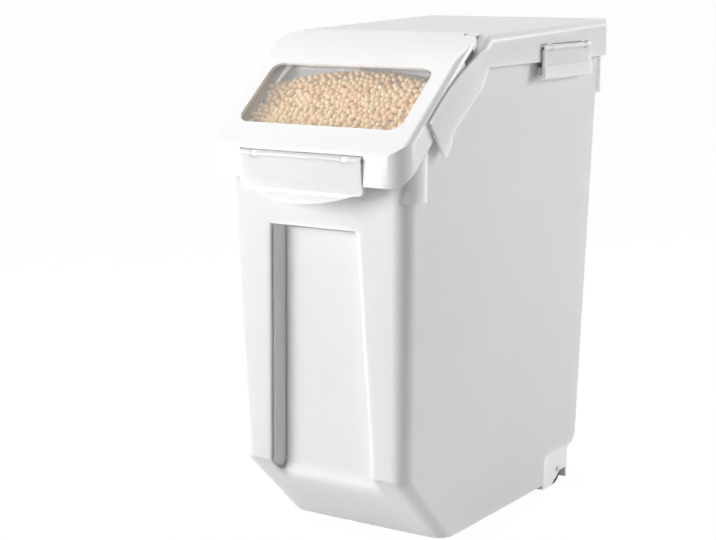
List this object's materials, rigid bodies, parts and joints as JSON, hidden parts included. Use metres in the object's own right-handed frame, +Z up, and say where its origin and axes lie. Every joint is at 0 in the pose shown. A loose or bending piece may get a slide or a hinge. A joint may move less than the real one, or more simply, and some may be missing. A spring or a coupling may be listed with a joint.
{
  "type": "rice bin with flip lid",
  "caption": "White plastic rice bin with a sloped flip lid, clear window, front latch, side clips, rear wheels and a fill of soybeans.",
  "frame": {"origin": "middle of the bounding box, on the ground", "axes": "+Z up, +X to the viewer's right when facing the front, the front faces -Y"},
  "size_m": [0.2184, 0.391, 0.4653],
  "materials": {
    "tub_plastic": "satin",
    "cover_plastic": "satin",
    "lid_plastic": "satin",
    "latch_plastic": "satin",
    "clear_window": "clear",
    "seal_rubber": "matte",
    "pin_steel": "satin",
    "wheel_plastic": "matte",
    "tyre_rubber": "matte",
    "foot_rubber": "matte",
    "soybeans": "matte"
  },
  "bodies": {
    "base": {"tub": "tub_plastic", "cover": "cover_plastic", "cover_seal": "seal_rubber", "hinge_pin_left": "pin_steel", "hinge_pin_right": "pin_steel", "clip_pin_left": "pin_steel", "clip_pin_right": "pin_steel", "wheel_bracket_left": "tub_plastic", "wheel_bracket_right": "tub_plastic", "axle_left": "pin_steel", "axle_right": "pin_steel", "front_foot_left": "foot_rubber", "front_foot_right": "foot_rubber", "grain": "soybeans"},
    "lid": {"flip_lid": "lid_plastic", "window": "clear_window", "lid_seal": "seal_rubber", "latch_pin": "pin_steel"},
    "latch": {"front_latch": "latch_plastic"},
    "clip_left": {"side_clip_left": "cover_plastic"},
    "clip_right": {"side_clip_right": "cover_plastic"},
    "wheel_set_left": {"wheel_left": "wheel_plastic", "tyre_left": "tyre_rubber"},
    "wheel_set_right": {"wheel_right": "wheel_plastic", "tyre_right": "tyre_rubber"}
  },
  "joints": [
    {"name": "lid_hinge", "type": "hinge", "parent": "base", "child": "lid", "pos_m": [0, -0.05245, 0.454], "axis": [-1, 0, 0], "range_deg": [0, 130]},
    {"name": "latch_hinge", "type": "hinge", "parent": "lid", "child": "latch", "pos_m": [0, -0.18905, 0.35946], "axis": [-1, 0, 0], "range_deg": [0, 100]},
    {"name": "clip_left_hinge", "type": "hinge", "parent": "base", "child": "clip_left", "pos_m": [-0.1054, 0.09255, 0.442], "axis": [0, 1, 0], "range_deg": [0, 90]},
    {"name": "clip_right_hinge", "type": "hinge", "parent": "base", "child": "clip_right", "pos_m": [0.1054, 0.09255, 0.442], "axis": [0, -1, 0], "range_deg": [0, 90]},
    {"name": "wheel_left_spin", "type": "hinge", "parent": "base", "child": "wheel_set_left", "pos_m": [-0.06936, 0.14, 0.018], "axis": [1, 0, 0], "continuous": true},
    {"name": "wheel_right_spin", "type": "hinge", "parent": "base", "child": "wheel_set_right", "pos_m": [0.06936, 0.14, 0.018], "axis": [1, 0, 0], "continuous": true}
  ]
}
